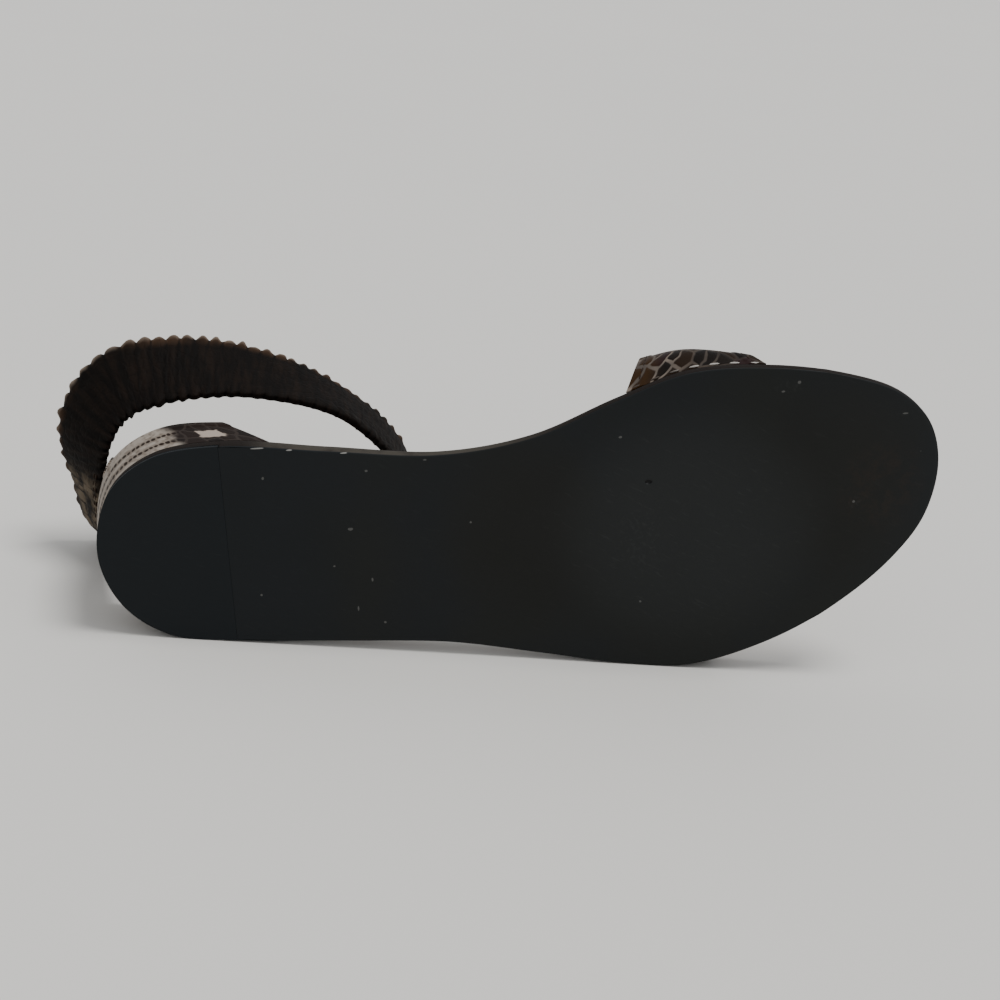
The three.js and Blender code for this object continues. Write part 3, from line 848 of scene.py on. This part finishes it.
def cup_height(arc):
    """Height of the cup's rim, that far round from the middle of the back."""
    wing = HEEL_CUP_HEIGHT - CUP_WING_DROP * (arc / back_arc) ** 2
    tab = 1 - smoothstep(abs(arc), TAB_HALF_WIDTH, TAB_HALF_WIDTH + TAB_FOOT)
    return wing + (HEEL_TAB_HEIGHT - wing) * tab


def cup_arc(column):
    """How far round a column lies, as a share of its side and in millimetres. Columns crowd at the back."""
    spread = 2 * column / CUP_COLUMNS - 1
    side = math.copysign(abs(spread) ** CUP_CROWDING, spread)
    return side, side * (back_arc if side < 0 else heel_arc - back_arc)


def cup_place(column, row):
    """The place on the cup's wall of a column and a row of its grid."""
    side, arc = cup_arc(column)
    rise = row / CUP_ROWS
    return heel_wall(arc - CUP_SETBACK * rise * side * abs(side), rise * cup_height(arc))


def cup_chart(column, row):
    """Where a column and a row lie on the cup's leather laid flat: how far round and how far up."""
    arc = cup_arc(column)[1]
    return arc, row / CUP_ROWS * cup_height(arc)


bm, corners = charted_grid(CUP_COLUMNS, CUP_ROWS, surface=cup_place, chart=cup_chart)
HEEL_HEART = Vector((36, 0, 10))
faces_outwards(bm, HEEL_HEART)
for vert, (column, row) in corners.items():
    arc = cup_arc(column)[1]
    from_rim = (1 - row / CUP_ROWS) * cup_height(arc)
    height = CUP_RIM_RISE * (1 - smoothstep(from_rim, CUP_RIM, CUP_RIM + CUP_RIM_STEP))
    vert.co = pressed_flat(vert.co + vert.normal * height)

# the cream and beige are the cup's own pale print, made somewhat darker as painted shade over the cup
CUP_CREAM = (0.31, 0.27, 0.23, 1)
CUP_BEIGE = (0.17, 0.138, 0.11, 1)
CUP_PATCH = (0.36, 0.295, 0.245, 1)
CUP_OLIVE = (0.1, 0.075, 0.046, 1)
CUP_DARK = (0.009, 0.0062, 0.005, 1)
CUP_BROWN = (0.018, 0.011, 0.0085, 1)
CUP_NET = (0.03, 0.022, 0.018, 1)
CUP_CELL = (5.5, 5)
# heights of the rows of dark dots along the cup, and the dots' spacing and reach both ways
DOT_ROWS = (3.6, 9)
DOT_PITCH = 1.9
DOT_REACH = (0.85, 0.95)
# the pale patch in the dark inner wing, then where wings and tab change their print, in metres
PATCH_MIDDLE = (-58, 6)
PATCH_REACH = (4.4, 2.7)
WING_PRINT = (0.0485, 0.0535)
TAB_PRINT = (0.017, 0.024)

cup_finish, shader, place, plan = new_finish("cup_leather", {"Specular IOR Level": 0.06})
inwards, tone = snake_scales(plan, CUP_CELL, turn=0.3, uneven=0.7)
ragged = cloud(plan, 420, detail=3) - 0.5
round_heel, up_wall = both_ways(plan)
height = up_wall + 0.0016 * (cloud(plan, 110) - 0.5) + 0.0012 * ragged
colour = blend(ramp(cloud(plan, 420, detail=4), 0.42, 0.68), CUP_CREAM, CUP_BEIGE)
from_dot = round_heel.math("PINGPONG", round_heel + 0.002 * cloud(plan, 170), DOT_PITCH * MM / 2)
far = from_dot * (1 / (DOT_REACH[0] * MM))
for row in DOT_ROWS:
    wide = (height - row * MM) * (1 / (DOT_REACH[1] * MM))
    beside = 1 - ramp(wide * wide + 5 * ragged, 0.5, 5)
    dots = 1 - ramp(far * far + wide * wide + 2 * ragged, 0.4, 1.3)
    colour = blend(beside * 0.7, colour, CUP_BEIGE)
    colour = blend(dots, colour, SCALE_BROWN)
from_back = round_heel.math("ABSOLUTE", round_heel, 0.0)
wing = ramp(from_back + 0.012 * cloud(plan, 120), *WING_PRINT)
from_middle = [
    round_heel.math("ABSOLUTE", (way - middle * MM) * (1 / (reach * MM)), 0.0)
    for way, middle, reach in zip((round_heel, up_wall), PATCH_MIDDLE, PATCH_REACH)
]
patch = 1 - ramp(round_heel.math("MAXIMUM", *from_middle) + ragged * 0.9, 0.85, 1.05)
wing_colour = blend(ramp(inwards, 0.05, 0.11), CUP_NET, blend(tone, CUP_DARK, CUP_BROWN))
colour = blend(wing, colour, blend(patch, wing_colour, CUP_PATCH))
tab_colour = blend(1 - ramp(inwards, 0.05, 0.13), blend(tone, SCALE_BROWN, CUP_OLIVE), NET_BEIGE)
colour = blend(ramp(height, *TAB_PRINT), colour, tab_colour)
fine = cloud(place, 1800, detail=3)
relief = bumped(ramp(inwards, 0.03, 0.25), 0.0002, 0.5)
relief = bumped(fine, 0.00008, 0.4, relief)
feed(shader, {"Base Color": colour, "Roughness": 0.5 + 0.1 * fine, "Normal": relief})

heel_cup = laid_piece(bm, "heel_cup", [cup_finish, lining_finish])
walled(heel_cup, UPPER_WALL, lining=1)
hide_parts("heel_counter")

# Ankle strap: a hoop of dark snake leather, gathered on rows of elastic, so that it puckers and its edges
# scallop. It is sewn by its lower edge to the tab behind the heel. Slack, it flares out there like a collar,
# and its outer side rests on the floor.
STRAP_WIDTH = 26
STRAP_THICKNESS = 3
STRAP_EDGE = 0.3
STRAP_LAP = 10
STRAP_STAND_OFF = 1
STRAP_BACK_FLARE = 30
# along, across and height of the strap's middle, and how many degrees its top edge is turned outwards
STRAP_STOPS = [
    (-11.6, -19, 55.4, 46),
    (-1.2, -32.6, 57, 46),
    (20.4, -36.5, 60.5, 32),
    (47.2, -32, 63.6, 15),
    (74, -18, 67, 0),
    (90, 4, 69, 0),
    (87, 26, 69, 0),
    (66, 33.5, 66, 0),
    (40, 30.5, 63, 4),
    (9, 25, 60, 14),
    (-10.8, 16.8, 57.6, 24),
]
GATHER_PITCH = 4.1
GATHER_DEPTH = 0.75
GATHER_INSIDE = 0.5
# gathers to a wave of their wander, the wander in gathers, then the height of a gather and how much it varies
GATHERS_A_WAVE = 3.2
GATHER_WANDER = 0.2
GATHER_HEIGHT = 0.75
GATHER_UNEVEN = 0.35
GATHER_BLUNT = 0.7
SCALLOP = 0.16
FRILL = 0.9
# rows of elastic across the strap, how much they hold the gathers down in shape, and how much painted shade
# lies along them
ELASTIC_ROWS = (-8.5, 0, 8.5)
ELASTIC_WIDTH = 1.1
ELASTIC_HOLD = 0.75
ELASTIC_SHADE = 0.6
FREE_EDGE = 9
STEPS_A_STOP = 60
STEPS_A_GATHER = 7
SECTION_STEPS = 56
RING_RADIUS = 3
# faces whose place round the section looks inwards by more than this carry the lining
LINING_FACING = 0.2

back_flare = math.radians(STRAP_BACK_FLARE)
strap_back = heel_wall(0, HEEL_TAB_HEIGHT - STRAP_LAP)
sewn_reach = STRAP_WIDTH / 2 * math.sin(back_flare) + STRAP_EDGE * STRAP_THICKNESS * math.cos(back_flare)
strap_back.x -= STRAP_STAND_OFF + sewn_reach
strap_back.z += STRAP_WIDTH / 2 * math.cos(back_flare)
strap_places = [strap_back, *(Vector(stop[:3]) for stop in STRAP_STOPS)]
strap_line = smooth_line(strap_places, STEPS_A_STOP, closed=True)
strap_flares = [STRAP_BACK_FLARE, *(stop[3] for stop in STRAP_STOPS), STRAP_BACK_FLARE]
flare_stops = [Vector((index, flare, 0)) for index, flare in enumerate(strap_flares)]
flare_line = smooth_line(flare_stops, STEPS_A_STOP)
strap_line.append(strap_line[0])
strap_runs = running_lengths(strap_line)
strap_length = strap_runs[-1]
gathers = round(strap_length / GATHER_PITCH)
strap_steps = gathers * STEPS_A_GATHER


def strap_frame(step):
    """The strap's middle at a step round the hoop, and the ways across its width and out through it."""
    reach = strap_length * (step % strap_steps) / strap_steps
    after = max(bisect_left(strap_runs, reach), 1)
    share = (reach - strap_runs[after - 1]) / (strap_runs[after] - strap_runs[after - 1])
    middle = strap_line[after - 1].lerp(strap_line[after], share)
    run = (strap_line[after] - strap_line[after - 1]).normalized()
    outwards = Vector((run.y, -run.x, 0)).normalized()
    flare = math.radians(flare_line[after - 1].lerp(flare_line[after], share).y)
    upwards = Vector((0, 0, 1))
    widthways = upwards * math.cos(flare) + outwards * math.sin(flare)
    through = outwards * math.cos(flare) - upwards * math.sin(flare)
    return middle, widthways, through


def pucker(step, across):
    """How far a gather stands up at a step round the strap and a place across it, from 0 to about 1."""
    turn = math.tau * step / strap_steps
    around = Vector((math.cos(turn), math.sin(turn), 0)) * gathers / GATHERS_A_WAVE
    wander = noise.noise(around + Vector((0, 0, across / 6)))
    phase = step / STEPS_A_GATHER + GATHER_WANDER * wander
    height = abs(math.cos(math.pi * phase)) ** GATHER_BLUNT
    uneven = noise.noise(around * 0.7 + Vector((0, 0, 7 + across / 9)))
    return height * (GATHER_HEIGHT + GATHER_UNEVEN * uneven)


bm = bmesh.new()
bmesh.ops.create_circle(
    bm,
    segments=SECTION_STEPS,
    radius=1,
    matrix=Matrix.Translation((RING_RADIUS, 0, 0)) @ Matrix.Rotation(math.radians(90), 4, "X"),
)
bmesh.ops.spin(
    bm,
    geom=bm.verts[:] + bm.edges[:],
    cent=(0, 0, 0),
    axis=(0, 0, 1),
    angle=math.tau,
    steps=strap_steps,
    use_merge=True,
)
layer = bm.loops.layers.uv.new("shoe")
gather_shading_layer = bm.verts.layers.float.new("gather")
ring = {}
for vert in bm.verts:
    turn = math.atan2(vert.co.y, vert.co.x) % math.tau
    section = math.atan2(vert.co.z, math.hypot(vert.co.x, vert.co.y) - RING_RADIUS)
    ring[vert] = (round(turn / math.tau * strap_steps) % strap_steps, section)
for face in bm.faces:
    for loop in face.loops:
        step, section = ring[loop.vert]
        steps = [ring[corner.vert][0] for corner in face.loops]
        if max(steps) - min(steps) > strap_steps / 2 and step < strap_steps / 2:
            step += strap_steps
        side = math.sin(section) * STRAP_WIDTH / 2
        loop[layer].uv = Vector((strap_length * step / strap_steps, side)) * MM
strap_frames = [strap_frame(step) for step in range(strap_steps)]
for vert, (step, section) in ring.items():
    middle, widthways, through = strap_frames[step]
    across = math.sin(section) * STRAP_WIDTH / 2
    # the section is an oblong with rounded ends
    rounding = (1 - abs(math.sin(section)) ** 6) ** (1 / 4)
    depth = math.copysign(rounding * STRAP_THICKNESS / 2, math.cos(section))
    held = max(math.exp(-(((across - row) / ELASTIC_WIDTH) ** 2)) for row in ELASTIC_ROWS)
    puff = pucker(step, across)
    swell = GATHER_DEPTH * (1 - ELASTIC_HOLD * held) * (puff - 0.5)
    free = smoothstep(abs(across), FREE_EDGE, STRAP_WIDTH / 2)
    place = middle + widthways * (across * (1 + SCALLOP * (puff - 0.5) * free))
    place += through * (depth + math.copysign(swell, depth) * (1 if depth > 0 else GATHER_INSIDE))
    place += through * FRILL * free * (puff - 0.5)
    vert.co = pressed_flat(place)
    # the gathers' height, lowered along the elastic rows; the finishes use it for painted shade in the
    # hollows and painted highlight on the crests
    vert[gather_shading_layer] = puff * (1 - ELASTIC_SHADE * held)
bmesh.ops.recalc_face_normals(bm, faces=bm.faces[:])
for face in bm.faces:
    inner = all(math.cos(ring[vert][1]) < -LINING_FACING for vert in face.verts)
    face.material_index = 1 if inner else 0

# the dark and the brown are the strap's own dark snake print, made darker still as painted shade over the
# strap
STRAP_DARK = (0.0045, 0.0036, 0.0031, 1)
STRAP_BROWN = (0.0098, 0.0064, 0.0047, 1)
STRAP_RUST = (0.045, 0.025, 0.0145, 1)
STRAP_TIP_FLECK_AND_HIGHLIGHT = (0.2, 0.158, 0.122, 1)
STRAP_OLIVE = (0.105, 0.08, 0.053, 1)
STRAP_CELL = (2.4, 3.2)
# how far round, before the tab and past it, the olive skin of the strap's back sets in and fades out
OLIVE_BEFORE = (25, 19)
OLIVE_PAST = (1, 9)
# heights over the strap's middle, in metres, at which rust and pale tips set in
RUST_HEIGHT = (0.008, 0.012)
TIP_HEIGHT = (0.0108, 0.0132)

strap_finish, shader, place, plan = new_finish("strap_leather", {"Specular IOR Level": 0.05})
gather = place.node("ShaderNodeAttribute", {"attribute_name": "gather"}, {}, output="Fac")
round_hoop, up_strap = both_ways(plan)
height = up_strap + 0.002 * (cloud(plan, 200) - 0.5)
inwards = snake_scales(plan, STRAP_CELL, turn=0.15, uneven=0.8)[0]
streaks = cloud(stretched(plan, (0.0022, 0.014, 1), turn=0.15), 1, detail=3)
colour = blend(ramp(streaks, 0.35, 0.7), STRAP_DARK, STRAP_BROWN)
before_tab = ramp(round_hoop, *((strap_length - reach) * MM for reach in OLIVE_BEFORE))
past_tab = 1 - ramp(round_hoop + 0.006 * (cloud(plan, 160) - 0.5), *(reach * MM for reach in OLIVE_PAST))
olive = (before_tab + past_tab) * ramp(cloud(plan, 130, detail=3), 0.35, 0.6)
colour = blend(olive, colour, STRAP_OLIVE)
colour = blend(ramp(height, *RUST_HEIGHT) * ramp(cloud(plan, 60), 0.4, 0.6), colour, STRAP_RUST)
# painted shade: the hollows between the gathers and the rows held down by elastic turn dark
colour = blend(1 - ramp(gather, 0.0, 0.45), colour, STRAP_DARK)
# pale tips on the gathers' crests along the top edge: partly beige flecks of the print, partly painted
# highlight where light falls on them
colour = blend(ramp(height, *TIP_HEIGHT) * ramp(gather, 0.2, 0.7), colour, STRAP_TIP_FLECK_AND_HIGHLIGHT)
fine = cloud(place, 1600, detail=3)
relief = bumped(fine, 0.0001, 0.5)
relief = bumped(ramp(inwards, 0.03, 0.2), 0.00015, 0.5, relief)
feed(shader, {"Base Color": colour, "Roughness": 0.6 + 0.15 * fine, "Normal": relief})

SUEDE_RUST = (0.13, 0.056, 0.022, 1)
SUEDE_BROWN = (0.07, 0.03, 0.013, 1)
strap_lining, shader, place, _ = new_finish("strap_lining", {"Specular IOR Level": 0.3, "Roughness": 0.68})
gather = place.node("ShaderNodeAttribute", {"attribute_name": "gather"}, {}, output="Fac")
# painted light and shade on the lining: its rust tone grows on the puffed gathers, and its brown deepens in
# the hollows and along the elastic
colour = blend(cloud(place, 140, detail=5) * 0.5 + 0.6 * gather, SUEDE_BROWN, SUEDE_RUST)
feed(shader, {"Base Color": colour, "Normal": bumped(cloud(place, 1500, detail=3), 0.00012, 0.5)})

ankle_strap = laid_piece(bm, "gathered_strap", [strap_finish, strap_lining])
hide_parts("ankle_strap")

# Strap tack: two short rows of stitches on the strap's outer face, which hold its lower edge to the tab
# behind the heel. They are of the same dark thread as the hem seams.
TACK_ROWS = (-11.4, -9.8)
TACK_STEPS = 2 * STEPS_A_GATHER
TACK_PITCH = 2.4
TACK_STITCH = TACK_PITCH * 0.75

bm = bmesh.new()
for across in TACK_ROWS:
    line = []
    for step in range(-TACK_STEPS, TACK_STEPS + 1):
        middle, widthways, through = strap_frame(step)
        line.append(middle + widthways * across + through * STRAP_THICKNESS / 2)
    sew(bm, line, HEEL_HEART, TACK_PITCH, TACK_STITCH, THREAD_THICK)
laid_piece(bm, "strap_tack", [hem_thread])

# Floor, light and camera: a plain pale floor under one broad soft light from above and to the right, so that
# the shadow falls to the left of the heel. The camera stands before the sole and a little above it, and is
# rolled so that the sole's resting edge slopes down to the toe.
FLOOR_SIZE = 12
FLOOR_PALE = (0.705, 0.684, 0.642, 1)
FLOOR_GREY = (0.675, 0.66, 0.628, 1)
SKY_COLOUR = (0.95, 0.97, 1, 1)
SKY_STRENGTH = 0.7
SUN_PLACE = Vector((0.34, -0.1, 1))
SUN_ENERGY = 2.3
SUN_SPREAD = math.radians(24)
LENS = 60.8
CAMERA_ROLL = math.radians(5.35)
CAMERA_PLACE = Vector((-0.0312, -0.5058, 0.2355))
CAMERA_AIM = Vector((0.0065, -0.029, 0.047))

bm = bmesh.new()
bmesh.ops.create_grid(bm, x_segments=1, y_segments=1, size=FLOOR_SIZE / 2)
mesh = bpy.data.meshes.new("floor")
bm.to_mesh(mesh)
bm.free()
floor_finish, shader, place, _ = new_finish("floor_board", {"Roughness": 0.6, "Specular IOR Level": 0.3})
feed(shader, {"Base Color": blend(cloud(place, 3, detail=4), FLOOR_GREY, FLOOR_PALE)})
mesh.materials.append(floor_finish)
floor = bpy.data.objects.new("floor", mesh)
bpy.context.scene.collection.objects.link(floor)

world = bpy.data.worlds.new("studio")
bpy.context.scene.world = world
world.use_nodes = True
sky = world.node_tree.nodes["Background"]
sky.inputs["Color"].default_value = SKY_COLOUR
sky.inputs["Strength"].default_value = SKY_STRENGTH

sun_lamp = bpy.data.lights.new("window", "SUN")
sun_lamp.energy = SUN_ENERGY
sun_lamp.angle = SUN_SPREAD
sun = bpy.data.objects.new("window", sun_lamp)
sun.rotation_mode = "QUATERNION"
sun.rotation_quaternion = (-SUN_PLACE).to_track_quat("-Z", "Y")
bpy.context.scene.collection.objects.link(sun)

lens = bpy.data.cameras.new("camera")
lens.lens = LENS
camera = bpy.data.objects.new("camera", lens)
camera.location = CAMERA_PLACE
camera.rotation_mode = "QUATERNION"
look = (CAMERA_AIM - CAMERA_PLACE).to_track_quat("-Z", "Y")
camera.rotation_quaternion = look @ Quaternion((0, 0, 1), CAMERA_ROLL)
bpy.context.scene.collection.objects.link(camera)
bpy.context.scene.camera = camera
